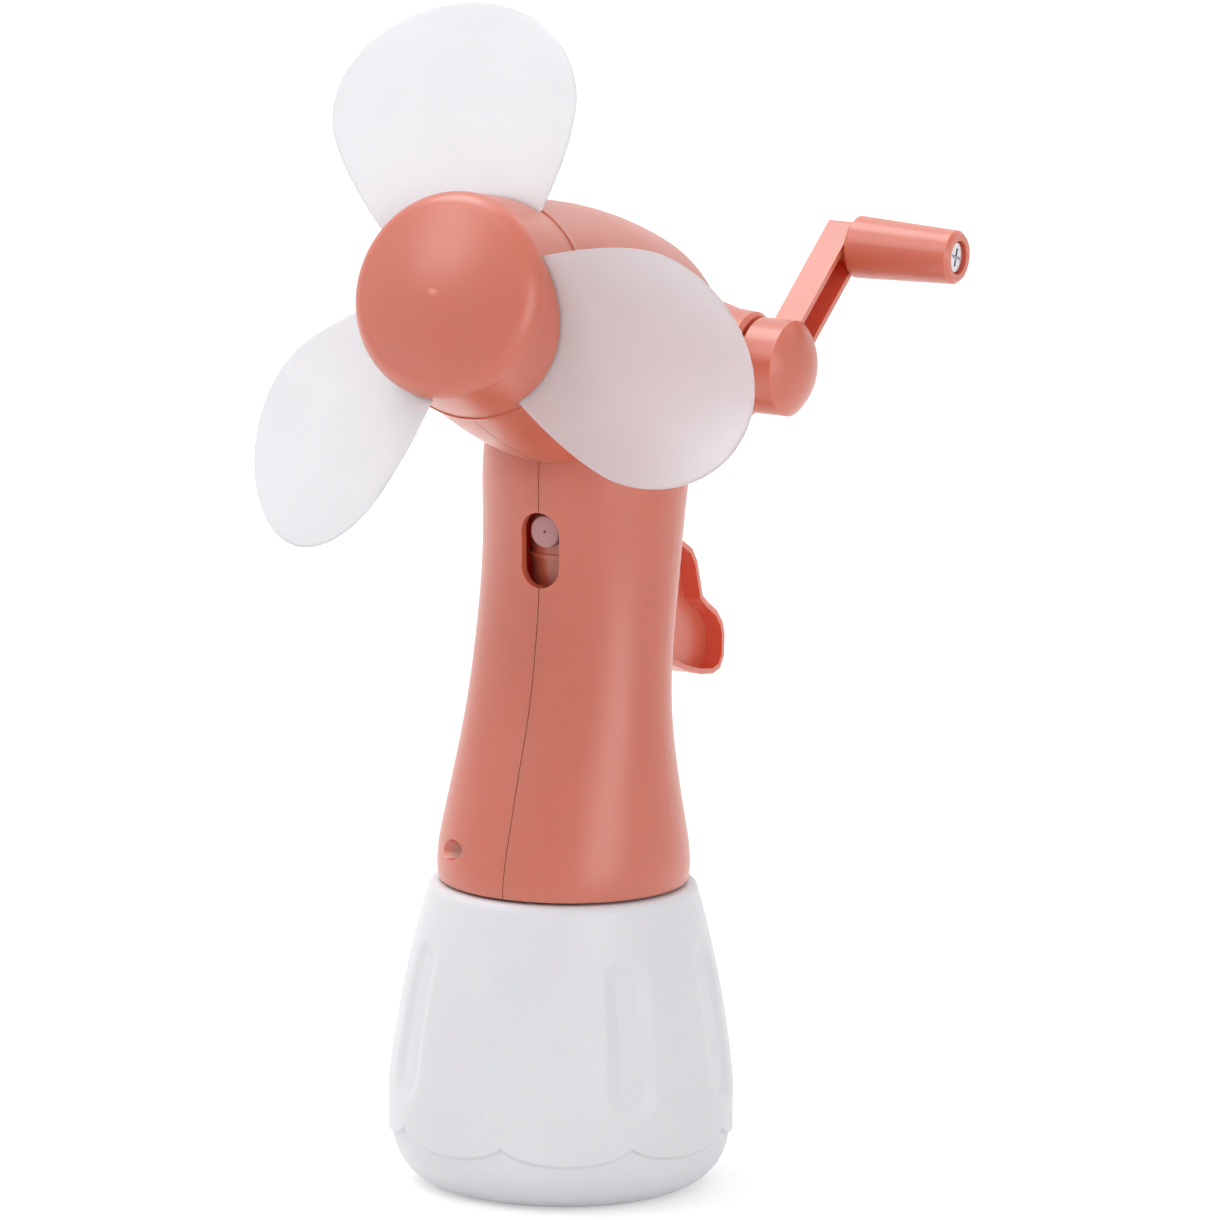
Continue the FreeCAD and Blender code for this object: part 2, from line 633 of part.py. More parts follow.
def actuator_cap():
    """Cap that the trigger presses, with a skirt that slides over the barrel."""
    low, high = HEAD_CAP_Z
    body = rod(HEAD_CAP_R, low, high)
    body = body.makeFillet(1.0, [e for e in body.Edges if e.BoundBox.ZMin > high - 0.1])
    bead = rod(HEAD_CAP_R + 0.35, low, low + 0.9)
    skirt = rod(HEAD_CAP_R - 0.2, SKIRT_LOW_Z, low)
    hollow = ring(HEAD_CAP_R - 1.2, CAP_CORE_R, SKIRT_LOW_Z - 1.0, high - 2.4)
    core_end = rod(CAP_CORE_R, SKIRT_LOW_Z - 1.0, low + 1.0)
    stem_seat = rod(STEM_R + SEAT, low - 1.0, NOZZLE_Z + 1.6)
    nozzle_seat = rod_y(NOZZLE_R + SEAT, NOZZLE_FACE_Y, NOZZLE_BACK_Y)
    channel = rod_y(0.8, NOZZLE_BACK_Y - 1.0, 0.0)
    shaped = fuse_all([body, bead, skirt])
    return largest(cut_all(shaped, [hollow, core_end, stem_seat, nozzle_seat, channel]))


def nozzle_insert():
    """Round plug with a swirl chamber behind its pinhole."""
    plug = rod_y(NOZZLE_R, NOZZLE_FACE_Y, NOZZLE_BACK_Y)
    rim = [e for e in plug.Edges if e.BoundBox.YMax < NOZZLE_FACE_Y + 0.1]
    plug = plug.makeFillet(0.4, rim)
    pinhole = rod_y(0.3, NOZZLE_FACE_Y - 1.0, NOZZLE_BACK_Y)
    swirl = rod_y(1.2, NOZZLE_FACE_Y + 1.0, NOZZLE_BACK_Y + 1.0)
    return cut_all(plug, [pinhole, swirl])


def dip_tube():
    return ring(TUBE_R, TUBE_BORE_R, 5.0, BARREL_Z[0] - 3.1)


# ---- trigger -----------------------------------------------------------------

def trigger():
    """Lever with a rimmed outline and hollow sides about a thin web."""
    upper = [(-10.8, 157.4), (-2.0, 154.2), (9.0, 147.8), (19.0, 139.5), (26.5, 133.2),
             (34.6, 127.0), (40.2, 123.6), (44.4, 121.2), (46.6, 118.2), (48.0, 114.0),
             (49.0, 110.8), (51.6, 108.8), (55.2, 106.6), (57.6, 103.9), (58.6, 101.2),
             (58.4, 96.6), (56.8, 94.4), (53.8, 93.8)]
    lower = [(49.0, 94.5), (42.8, 96.3), (36.6, 98.7), (33.0, 103.0), (30.8, 108.0),
             (28.8, 113.0), (24.4, 120.0), (18.6, 127.6), (13.8, 136.4), (9.6, 140.8),
             (PAD[0] + PAD_R, PAD[1]), (PAD[0] - PAD_R, PAD[1]), (2.2, 143.8),
             (-2.0, 147.0), (-8.6, 151.0)]
    plate = side_plate(upper + lower, TRIGGER_HALF)
    hub = rod_x(3.2, -TRIGGER_HALF, TRIGGER_HALF, *PIVOT)
    pad = rod_x(PAD_R, -TRIGGER_HALF, TRIGGER_HALF, *PAD)
    wire = Part.makePolygon([V(0, y, z) for y, z in upper + lower + upper[:1]])
    hollow = Part.Face(wire).makeOffset2D(-TRIGGER_RIM)
    hollow = largest_face(hollow)
    keep = block((-FAR, 8.0, 0), (FAR, FAR, FAR))
    pockets = []
    for side in (-1, 1):
        pocket = hollow.extrude(V(side * FAR, 0, 0))
        pocket.translate(V(side * TRIGGER_WEB / 2, 0, 0))
        pockets.append(pocket.common(keep))
    solid = fuse_all([plate, hub, pad])
    return cut_all(solid, pockets + [rod_x(PIN_R + RUNNING, -FAR, FAR, *PIVOT)])


def largest_face(shape):
    return max(shape.Faces, key=lambda face: face.Area)


# ---- gears -------------------------------------------------------------------

def involute(angle):
    return math.tan(angle) - angle


def spur_gear(teeth, low, high, turn=0.0):
    """Spur gear along local Z with a tooth at the angle turn (degrees)."""
    pitch_r = MODULE * teeth / 2
    base_r = pitch_r * math.cos(PRESSURE_ANGLE)
    root_r = pitch_r - DEDENDUM * MODULE
    tip_r = pitch_r + ADDENDUM * MODULE
    half_pitch = TOOTH_FRACTION * math.pi / teeth
    flank = []
    for r in (root_r, max(base_r, root_r + 0.01), pitch_r, tip_r):
        local = math.acos(min(1.0, base_r / r)) if r > base_r else 0.0
        flank.append((r, half_pitch + involute(PRESSURE_ANGLE) - involute(local)))
    corners = []
    for k in range(teeth):
        centre = math.radians(turn) + k * 2 * math.pi / teeth
        for r, half in flank:
            corners.append(V(r * math.cos(centre - half), r * math.sin(centre - half), low))
        for r, half in reversed(flank):
            corners.append(V(r * math.cos(centre + half), r * math.sin(centre + half), low))
    face = Part.Face(Part.makePolygon(corners + corners[:1]))
    return face.extrude(V(0, 0, high - low))


def crown_teeth(pitch_z, turn):
    """Teeth on the face of a disc, pointing towards local -Z."""
    circular_pitch = math.pi * MODULE
    half = TOOTH_FRACTION * circular_pitch / 2
    slope = math.tan(PRESSURE_ANGLE)
    tip = ADDENDUM * MODULE
    root = DEDENDUM * MODULE + 0.2
    inner_r = CROWN_PITCH_R - CROWN_FACE / 2
    outline = [(-half + tip * slope, pitch_z - tip), (half - tip * slope, pitch_z - tip),
               (half + root * slope, pitch_z + root), (-half - root * slope, pitch_z + root)]
    corners = [V(inner_r, y, z) for y, z in outline]
    face = Part.Face(Part.makePolygon(corners + corners[:1]))
    tooth = face.extrude(V(CROWN_FACE, 0, 0))
    teeth = []
    for k in range(CROWN_TEETH):
        copy = tooth.copy()
        copy.rotate(V(0, 0, 0), Z_AXIS, turn + k * 360.0 / CROWN_TEETH)
        teeth.append(copy)
    return teeth


def crank_gear():
    gear = spur_gear(CRANK_TEETH, *GEAR_X)
    hub = rod(5.0, 3.0, GEAR_X[0])
    bore = rod(CRANK_SHAFT_R + SEAT, 0.0, 20.0)
    windows = [rod(3.1, 0.0, 20.0, (10.2 * math.cos(a), 10.2 * math.sin(a)))
               for a in (math.radians(30 + 60 * k) for k in range(6))]
    return placed(cut_all(gear.fuse(hub), [bore] + windows), CRANK_FRAME)


def transfer_gear():
    """Pinion driven by the crank gear, moulded with the crown gear."""
    half_tooth = 180.0 / PINION_TEETH
    pinion = spur_gear(PINION_TEETH, GEAR_X[0] - 1.1, GEAR_X[1] + 0.6, half_tooth)
    disc_low = PITCH_R + DEDENDUM * MODULE + 0.1
    disc = rod(CROWN_PITCH_R + CROWN_FACE / 2, disc_low, GEAR_X[0] - 1.0)
    hub = rod(3.4, 1.6, disc_low)
    gear = disc.fuse([hub, pinion] + crown_teeth(PITCH_R, 180.0 / CROWN_TEETH))
    return placed(cut_all(gear, [rod(PIN_R + RUNNING, 0.0, 20.0)]), IDLER_FRAME)


def fan_pinion():
    centre = IDLER_S + CROWN_PITCH_R
    gear = spur_gear(PINION_TEETH, centre - 1.5, centre + 1.5)
    collar = rod(2.9, centre + 1.5, centre + 4.0)
    return placed(cut_all(gear.fuse(collar), [rod(FAN_SHAFT_R + SEAT, 0.0, 60.0)]), FAN_FRAME)


# ---- crank -------------------------------------------------------------------

def crank_shaft():
    return rod_x(CRANK_SHAFT_R, -14.4, 45.0, CRANK_Y, CRANK_Z)


def crank_bush_left():
    bush = ring(BUSH_R, CRANK_SHAFT_R + RUNNING, -14.5, -9.2)
    return placed(bush, CRANK_FRAME)


def crank_bush_right():
    bush = ring(BUSH_R, CRANK_SHAFT_R + RUNNING, 30.1, COLLAR_END_X)
    return placed(bush, CRANK_FRAME)


def crank_arm():
    """Domed boss, channel arm open to +X and the seat of the knob's screw."""
    low, high = BOSS_X
    edges = [line((0, low), (BOSS_R - 0.5, low)), line((BOSS_R - 0.5, low), (BOSS_R, low + 0.5)),
             line((BOSS_R, low + 0.5), (BOSS_R, high))]
    middle = dome_middle(BOSS_R, BOSS_DOME, high + BOSS_DOME)
    edges.append(arc((BOSS_R, high), middle, (0, high + BOSS_DOME)))
    edges.append(line((0, high + BOSS_DOME), (0, low)))
    boss = placed(turned(edges), CRANK_FRAME)

    arm_frame = Placement(AXES_MEET, Rotation(X_AXIS, -ARM_ANGLE))
    half_width = ARM_WIDTH / 2
    bar = block((ARM_X[0], -half_width, 0), (ARM_X[1], half_width, ARM_END))
    bar = bar.makeFillet(1.2, [e for e in bar.Edges if is_end_corner(e)])
    channel = block((ARM_X[0] + ARM_WALL, -half_width + ARM_WALL, 0),
                    (ARM_X[1] + 5, half_width - ARM_WALL, ARM_END - ARM_WALL))
    seat = Part.makeCylinder(half_width - 0.6, ARM_X[1] - ARM_X[0],
                             V(ARM_X[0], 0, CRANK_THROW), X_AXIS)
    channel = channel.cut(seat)
    arm = placed(bar.cut(channel), arm_frame)
    bore = rod_x(CRANK_SHAFT_R + SEAT, 0.0, 45.1, CRANK_Y, CRANK_Z)
    screw_hole = rod_x(1.5 + SEAT, 0.0, 60.0, KNOB_CENTRE.y, KNOB_CENTRE.z)
    return cut_all(boss.fuse(arm), [bore, screw_hole])


def is_end_corner(edge):
    """True for the arm's two outer corner edges, which run along X at its end."""
    along_x = abs(edge.tangentAt(edge.FirstParameter).x) > 0.9
    return along_x and edge.CenterOfMass.z > ARM_END - 1.0


def knob():
    low, high = KNOB_X
    edges = polyline([(0, low), (KNOB_ROOT_R - 0.6, low), (KNOB_ROOT_R, low + 0.6),
                      (KNOB_R, high - 0.7), (KNOB_R - 0.7, high), (0, high), (0, low)])
    frame = Placement(KNOB_CENTRE, CRANK_FRAME.Rotation)
    body = turned(edges)
    bore = rod(1.95 + RUNNING, low - 1.0, high + 1.0)
    recess = rod(KNOB_RECESS_R, high - KNOB_RECESS, high + 1.0)
    return placed(cut_all(body, [bore, recess]), frame)


def knob_screw():
    """Shoulder screw that the knob turns on."""
    head_low = KNOB_X[1] - KNOB_RECESS + 0.1
    shoulder = rod(1.95, ARM_X[1], head_low)
    shank = rod(1.5, ARM_X[0] + 0.2, ARM_X[1])
    head = rod(2.9, head_low, head_low + 1.7)
    cross = [block((-0.35, -1.8, head_low + 0.8), (0.35, 1.8, head_low + 2)),
             block((-1.8, -0.35, head_low + 0.8), (1.8, 0.35, head_low + 2))]
    frame = Placement(KNOB_CENTRE, CRANK_FRAME.Rotation)
    return placed(cut_all(fuse_all([shoulder, shank, head]), cross), frame)


# ---- fan ---------------------------------------------------------------------

def blade_slab(extra):
    """Twisted, bowed slab that a blade is cut from. Local X is outwards."""
    half = BLADE_HALF_WIDTH + 3.0
    sections = []
    for r in (10.0, 28.0, 48.0, 68.0):
        share = (r - 20.0) / (BLADE_CENTRE_R + BLADE_TIP_LENGTH - 20.0)
        pitch = BLADE_PITCH[0] + (BLADE_PITCH[1] - BLADE_PITCH[0]) * share
        slope = math.tan(math.radians(pitch))
        offset = BLADE_THICKNESS / 2 + extra
        sides = []
        for shift in (-offset, offset):
            points = []
            for w in (-half, -half / 2, 0.0, half / 2, half):
                s = BLADE_S + BLADE_SWEEP * (r - 20.0) + w * slope + shift
                s += BLADE_CAMBER * (w / BLADE_HALF_WIDTH) ** 2
                points.append(V(r, w, s))
            sides.append(points)
        back, front = sides
        edges = []
        for points in (back, front[::-1]):
            spline = Part.BSplineCurve()
            spline.interpolate(points)
            edges.append(spline.toShape())
        edges.insert(1, Part.LineSegment(back[-1], front[-1]).toShape())
        edges.append(Part.LineSegment(front[0], back[0]).toShape())
        sections.append(Part.Wire(edges))
    return Part.makeLoft(sections, True, True)


def petal_outline(extra):
    """Outline of a petal: a round tip, and flanks that narrow towards the axis."""
    half_width = BLADE_HALF_WIDTH + extra
    tip_steps = 6
    flank_steps = 5
    side = []
    for step in range(1, tip_steps + 1):
        angle = math.pi / 2 * step / tip_steps
        x = BLADE_CENTRE_R + (BLADE_TIP_LENGTH + extra) * math.cos(angle)
        side.append((x, half_width * math.sin(angle)))
    for step in range(1, flank_steps + 1):
        inwards = 0.8 * step / flank_steps
        narrowed = BLADE_NARROWING * inwards ** BLADE_FLANK_POWER
        side.append((BLADE_CENTRE_R * (1 - inwards), half_width * (1 - narrowed)))
    tip = (BLADE_CENTRE_R + BLADE_TIP_LENGTH + extra, 0.0)
    around = [(x, -w) for x, w in reversed(side)] + [tip] + side
    points = [V(x, w + BLADE_SKEW * (x - 20.0), 0) for x, w in around]
    spline = Part.BSplineCurve()
    spline.interpolate(points)
    root = Part.LineSegment(points[-1], points[0]).toShape()
    return Part.Wire([spline.toShape(), root])


def blade(k, extra=0.0):
    """Petal blade number k; extra makes the cutter for its slot in the hub."""
    prism = Part.Face(petal_outline(extra)).extrude(V(0, 0, 100))
    solid = blade_slab(extra).common(prism)
    if extra == 0.0:
        solid = solid.cut(rod(BLADE_ROOT_R, 0.0, 100.0))
    solid.rotate(V(0, 0, 0), Z_AXIS, BLADE_AZIMUTH + k * 360.0 / BLADES)
    return placed(largest(solid), FAN_FRAME)


def hub_outline(inset):
    """Hub cap: tapered side and a domed front, moved inwards by inset."""
    crease = HUB_CREASE_S - inset
    front_r = HUB_FRONT_R - inset
    top = HUB_CREASE_S + HUB_DOME - inset
    start = (front_r, crease - HUB_ROUND)
    corner = (front_r - 0.25 * HUB_ROUND, crease - 0.11 * HUB_ROUND)
    inner = (front_r - HUB_ROUND, crease + 0.4 * HUB_ROUND)
    return [line((0, HUB_FACE_S), (HUB_R - inset, HUB_FACE_S)),
            line((HUB_R - inset, HUB_FACE_S), start),
            arc(start, corner, inner),
            arc(inner, dome_middle(inner[0], top - inner[1], top), (0, top)),
            line((0, top), (0, HUB_FACE_S))]


def hub_cap():
    shell = turned(hub_outline(0.0)).cut(turned(hub_outline(HUB_WALL)))
    boss = rod(4.0, HUB_FACE_S, HUB_CREASE_S + HUB_DOME - 1.0)
    solid = shell.fuse(boss).cut(rod(FAN_SHAFT_R + SEAT, 40.0, 57.6))
    slots = [blade(k, 0.12) for k in range(BLADES)]
    boss_keep = placed(rod(BLADE_ROOT_R - 2.0, 40.0, 75.0), FAN_FRAME)
    slots = [s.cut(boss_keep) for s in slots]
    return largest(cut_all(placed(solid, FAN_FRAME), slots))


def hub_back():
    """Disc with a thin lip that closes the hub's rear."""
    disc = rod(HUB_R + 0.3, HUB_BACK_S, HUB_FACE_S)
    return placed(disc.cut(rod(FAN_SHAFT_R + 0.3, 40.0, 60.0)), FAN_FRAME)


def fan_shaft():
    return placed(rod(FAN_SHAFT_R, 25.0, 57.4), FAN_FRAME)


def fan_bush_front():
    return placed(ring(BUSH_R, FAN_SHAFT_R + RUNNING, 39.5, HEAD_FRONT_S), FAN_FRAME)


def fan_bush_rear():
    return placed(ring(REAR_BUSH_R, FAN_SHAFT_R + RUNNING, 25.2, 28.8), FAN_FRAME)


# ---- all sub-parts -----------------------------------------------------------

def build():
    left, right = housing_shells()
    parts = {
        "bottle": bottle(),
        "bottle_seal": bottle_seal(),
        "bottle_collar": bottle_collar(),
        "tube_grommet": tube_grommet(),
        "left_shell": left,
        "right_shell": right,
        "shell_screws": shell_screws(),
        "trigger_pin": trigger_pin(),
        "idler_pin": idler_pin(),
        "pump_barrel": pump_barrel(),
        "pump_gland": pump_gland(),
        "inlet_ball": inlet_ball(),
        "return_spring": return_spring(),
        "pump_piston": pump_piston(),
        "pump_stem": pump_stem(),
        "actuator_cap": actuator_cap(),
        "nozzle_insert": nozzle_insert(),
        "dip_tube": dip_tube(),
        "trigger": trigger(),
        "crank_gear": crank_gear(),
        "transfer_gear": transfer_gear(),
        "fan_pinion": fan_pinion(),
        "crank_shaft": crank_shaft(),
        "crank_bush_left": crank_bush_left(),
        "crank_bush_right": crank_bush_right(),
        "crank_arm": crank_arm(),
        "knob": knob(),
        "knob_screw": knob_screw(),
        "hub_cap": hub_cap(),
        "hub_back": hub_back(),
        "fan_shaft": fan_shaft(),
        "fan_bush_front": fan_bush_front(),
        "fan_bush_rear": fan_bush_rear(),
    }
    for k in range(BLADES):
        parts["blade_%d" % (k + 1)] = blade(k)
    return parts


def main():
    os.makedirs("parts", exist_ok=True)
    for name, shape in build().items():
        shape.exportStep("parts/%s.step" % name)
        print("%-18s solids %d valid %s volume %9.1f" % (
            name, len(shape.Solids), shape.isValid(), shape.Volume))


main()
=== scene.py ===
import json
import math

import bpy
from mathutils import Matrix, Vector


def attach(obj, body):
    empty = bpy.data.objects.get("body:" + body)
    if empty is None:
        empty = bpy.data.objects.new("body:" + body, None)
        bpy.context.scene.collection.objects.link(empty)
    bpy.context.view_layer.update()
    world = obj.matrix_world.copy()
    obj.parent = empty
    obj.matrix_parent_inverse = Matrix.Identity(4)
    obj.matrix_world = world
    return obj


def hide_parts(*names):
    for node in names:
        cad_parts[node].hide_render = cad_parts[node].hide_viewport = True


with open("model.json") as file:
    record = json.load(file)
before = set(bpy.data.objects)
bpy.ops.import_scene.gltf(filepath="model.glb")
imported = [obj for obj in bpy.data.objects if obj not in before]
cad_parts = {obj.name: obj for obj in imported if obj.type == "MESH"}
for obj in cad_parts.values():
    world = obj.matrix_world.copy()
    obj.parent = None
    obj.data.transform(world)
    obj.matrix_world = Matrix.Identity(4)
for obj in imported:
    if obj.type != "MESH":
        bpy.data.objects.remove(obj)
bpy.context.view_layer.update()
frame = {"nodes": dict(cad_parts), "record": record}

# Everything is in metres. Sizes in the model's own millimetres are multiplied by MM.
MM = 0.001

# ---- camera ------------------------------------------------------------------

CAMERA_AZIMUTH = 28.5       # degrees, from -Y towards +X
CAMERA_ELEVATION = 11.85    # degrees
CAMERA_ROLL = 0.65          # degrees
CAMERA_DISTANCE = 3.0
CAMERA_TARGET = Vector((0.0, 0.0, 0.115))
CAMERA_ASIDE = 0.0087       # the object stands this far left of the frame's middle
CAMERA_LIFT = 0.0011        # and this far below it
PIXELS_PER_METRE = 5040.0   # at the target
FRAME_PIXELS = 1220
SENSOR_MM = 36.0


def make_camera():
    azimuth = math.radians(CAMERA_AZIMUTH)
    elevation = math.radians(CAMERA_ELEVATION)
    away = Vector((math.sin(azimuth) * math.cos(elevation),
                   -math.cos(azimuth) * math.cos(elevation),
                   math.sin(elevation)))
    right = Vector((math.cos(azimuth), math.sin(azimuth), 0.0))
    target = CAMERA_TARGET + right * CAMERA_ASIDE + away.cross(right) * CAMERA_LIFT
    data = bpy.data.cameras.new("camera")
    data.sensor_width = SENSOR_MM
    data.sensor_fit = "HORIZONTAL"
    data.lens = SENSOR_MM * PIXELS_PER_METRE * CAMERA_DISTANCE / FRAME_PIXELS
    data.clip_start = 0.05
    data.clip_end = 20.0
    camera = bpy.data.objects.new("camera", data)
    bpy.context.collection.objects.link(camera)
    turn = away.to_track_quat("Z", "Y").to_matrix().to_4x4()
    roll = Matrix.Rotation(math.radians(CAMERA_ROLL), 4, "Z")
    camera.matrix_world = Matrix.Translation(target + away * CAMERA_DISTANCE) @ turn @ roll
    bpy.context.scene.camera = camera


# ---- material helpers --------------------------------------------------------

class Nodes:
    """Short hand for building one material's node tree."""

    def __init__(self, name):
        self.material = bpy.data.materials.new(name)
        self.material.use_nodes = True
        self.tree = self.material.node_tree
        self.shader = self.tree.nodes["Principled BSDF"]
        self.output = self.tree.nodes["Material Output"]

    def add(self, kind, **values):
        node = self.tree.nodes.new(kind)
        for key, value in values.items():
            setattr(node, key, value)
        return node

    def link(self, source, target):
        self.tree.links.new(source, target)

    def set(self, **values):
        """Sets the shader's own sockets, with _ for a space in their names."""
        for key, value in values.items():
            self.shader.inputs[key.replace("_", " ")].default_value = value

    def coordinates(self, scale):
        """Coordinates that stay with the object, stretched along its axes."""
        source = self.add("ShaderNodeTexCoord")
        mapping = self.add("ShaderNodeMapping")
        mapping.inputs["Scale"].default_value = scale
        self.link(source.outputs["Object"], mapping.inputs["Vector"])
        return mapping.outputs["Vector"]

    def noise(self, size, detail=3.0, scale=(1.0, 1.0, 1.0)):
        """Noise with features of about the given size in metres, from 0 to 1."""
        node = self.add("ShaderNodeTexNoise")
        node.inputs["Scale"].default_value = 1.0 / size
        node.inputs["Detail"].default_value = detail
        self.link(self.coordinates(scale), node.inputs["Vector"])
        return node.outputs["Fac"]

    def ramp(self, factor, low, high):
        """Colour ramp between two colours, over the middle of the factor's range."""
        node = self.add("ShaderNodeValToRGB")
        first, last = node.color_ramp.elements
        first.position, first.color = 0.3, low
        last.position, last.color = 0.7, high
        self.link(factor, node.inputs["Fac"])
        return node.outputs["Color"]

    def span(self, factor, low, high):
        """Maps a 0 to 1 factor to the range low to high."""
        node = self.add("ShaderNodeMapRange")
        node.inputs["To Min"].default_value = low
        node.inputs["To Max"].default_value = high
        self.link(factor, node.inputs["Value"])
        return node.outputs["Result"]

    def bump(self, height, strength, distance):
        """Normal that a height from 0 to 1 gives, over a distance in metres."""
        node = self.add("ShaderNodeBump")
        node.inputs["Strength"].default_value = strength
        node.inputs["Distance"].default_value = distance
        self.link(height, node.inputs["Height"])
        return node.outputs["Normal"]


def srgb(red, green, blue):
    """Linear colour with alpha from an 8 bit one."""
    def linear(value):
        value /= 255.0
        return value / 12.92 if value <= 0.04045 else ((value + 0.055) / 1.055) ** 2.4
    return (linear(red), linear(green), linear(blue), 1.0)


DRIFT_SIZE = 30 * MM        # patches of slightly different colour
SMEAR_SIZE = 12 * MM        # patches of slightly different gloss
SKIN_SIZE = 0.6 * MM        # grain of a moulded surface
SKIN_HEIGHT = 0.04 * MM


def moulded_plastic(name, colour, shade, roughness, **extra):
    """Injection moulded plastic: faint colour drift, fine skin and satin gloss."""
    n = Nodes(name)
    drift = n.noise(DRIFT_SIZE, 2.0)
    n.link(n.ramp(drift, shade, colour), n.shader.inputs["Base Color"])
    skin = n.noise(SKIN_SIZE, 2.0)
    smear = n.noise(SMEAR_SIZE, 3.0)
    n.link(n.span(smear, roughness - 0.04, roughness + 0.05), n.shader.inputs["Roughness"])
    n.link(n.bump(skin, 0.12, SKIN_HEIGHT), n.shader.inputs["Normal"])
    n.set(**extra)
    return n.material


def coral_plastic():
    """Coral housing plastic. Red light passes through its thin walls."""
    return moulded_plastic("coral_abs", srgb(210, 107, 80), srgb(205, 102, 76), 0.38,
                           Specular_IOR_Level=0.8, Coat_Weight=0.4, Coat_Roughness=0.34,
                           Subsurface_Weight=0.6, Subsurface_Scale=0.005,
                           Subsurface_Radius=(1.0, 0.25, 0.15))


def bottle_plastic():
    return moulded_plastic("bottle_pe", srgb(233, 232, 236), srgb(229, 228, 233), 0.38,
                           Specular_IOR_Level=0.4, Subsurface_Weight=0.25, Subsurface_Scale=0.004)


def white_plastic():
    return moulded_plastic("white_pp", srgb(236, 236, 236), srgb(231, 231, 232), 0.4)


def milky_plastic():
    """Clear to milky insert. Its pink tint is painted light: the red glow of the coral plastic
    round it, shining through it, put into its base colour.
    """
    return moulded_plastic("natural_pe", srgb(229, 178, 177), srgb(223, 172, 171), 0.35,
                           Transmission_Weight=0.3, IOR=1.3)


def gear_plastic():
    return moulded_plastic("acetal", srgb(236, 233, 224), srgb(230, 227, 218), 0.32)


def seal_rubber():
    return moulded_plastic("seal_rubber", srgb(46, 46, 48), srgb(38, 38, 40), 0.7)


def blade_plastic():
    """Soft frosted sheet that lets some light and colour through."""
    n = Nodes("blade_eva")
    drift = n.noise(20 * MM, 2.0)
    n.link(n.ramp(drift, srgb(238, 237, 240), srgb(243, 242, 245)), n.shader.inputs["Base Color"])
    frost = n.noise(1.2 * MM, 3.0)
    n.link(n.span(frost, 0.5, 0.62), n.shader.inputs["Roughness"])
    n.link(n.bump(frost, 0.1, SKIN_HEIGHT), n.shader.inputs["Normal"])
    n.set(Transmission_Weight=0.6, IOR=1.3, Specular_IOR_Level=0.35)
    return n.material


def metal(name, colour, roughness, brushed):
    """Steel or zinc, with fine lines along X when it is brushed."""
    n = Nodes(name)
    lines = n.noise(0.4 * MM, 4.0, (0.15, 1.0, 1.0) if brushed else (1.0, 1.0, 1.0))
    n.link(n.span(lines, roughness - 0.06, roughness + 0.1), n.shader.inputs["Roughness"])
    n.link(n.bump(lines, 0.15, 0.02 * MM), n.shader.inputs["Normal"])
    n.set(Base_Color=colour, Metallic=1.0)
    return n.material


def node_materials():
    """Makes the materials and gives each CAD node the one that its record names."""
    made = {
        "coral_abs": coral_plastic(),
        "white_pe": bottle_plastic(),
        "white_pp": white_plastic(),
        "natural_pe": milky_plastic(),
        "acetal": gear_plastic(),
        "seal_rubber": seal_rubber(),
        "blade_eva": blade_plastic(),
        "steel": metal("steel", srgb(176, 176, 178), 0.32, True),
        "bright_steel": metal("bright_steel", srgb(214, 214, 218), 0.2, False),
    }
    for part in frame["record"]["subparts"]:
        node = frame["nodes"][part["node"]]
        node.data.materials.clear()
        node.data.materials.append(made[part["material_slot"]])
    return made


# ---- mesh helpers ------------------------------------------------------------

def mesh_object(name, points, faces, material):
    mesh = bpy.data.meshes.new(name)
    mesh.from_pydata(points, [], faces)
    mesh.validate()
    mesh.update()
    mesh.shade_smooth()
    mesh.materials.append(material)
    piece = bpy.data.objects.new(name, mesh)
    bpy.context.collection.objects.link(piece)
    return piece


def lathe_faces(rings, columns, start_pole, end_pole):
    """Quads between closed rings of points, with a fan of triangles at each pole."""
    faces = []
    for ring in range(rings - 1):
        for column in range(columns):
            after = (column + 1) % columns
            a, b = ring * columns, (ring + 1) * columns
            faces.append((a + column, a + after, b + after, b + column))
    last = (rings - 1) * columns
    for column in range(columns):
        after = (column + 1) % columns
        faces.append((start_pole, after, column))
        faces.append((last + column, last + after, end_pole))
    return faces


def circle_through(a, b, c):
    """Centre and radius of the circle through three points of a profile."""
    (ax, ay), (bx, by), (cx, cy) = a, b, c
    d = 2 * (ax * (by - cy) + bx * (cy - ay) + cx * (ay - by))
    aa = ax * ax + ay * ay
    bb = bx * bx + by * by
    cc = cx * cx + cy * cy
    x = (aa * (by - cy) + bb * (cy - ay) + cc * (ay - by)) / d
    y = (aa * (cx - bx) + bb * (ax - cx) + cc * (bx - ax)) / d
    return x, y, math.hypot(ax - x, ay - y)


def ease(value):
    """Smooth step from 0 to 1."""
    value = min(1.0, max(0.0, value))
    return value * value * (3.0 - 2.0 * value)


# ---- bottle ------------------------------------------------------------------

BOTTLE_R = 34.4 * MM        # widest, from WIDE_LOW up to WIDE_HIGH
WIDE_LOW = 12.0 * MM
WIDE_HIGH = 21.0 * MM
FOOT_R = 23.4 * MM          # flat bottom, before the hem's step
TOP_R = 27.0 * MM           # where the side ends and the shoulder starts
TOP_Z = 59.5 * MM
SHOULDER_Z = 61.4 * MM
NECK_R = 11.6 * MM
NECK_BORE_R = 9.6 * MM
NECK_TOP_Z = 78.0 * MM
BOTTLE_WALL = 1.6 * MM
FOOT_ARC = circle_through((FOOT_R, 0.0), (31.18 * MM, 3.27 * MM), (BOTTLE_R, WIDE_LOW))
SIDE_ARC = circle_through((BOTTLE_R, WIDE_HIGH), (31.6 * MM, 40.25 * MM), (TOP_R, TOP_Z))

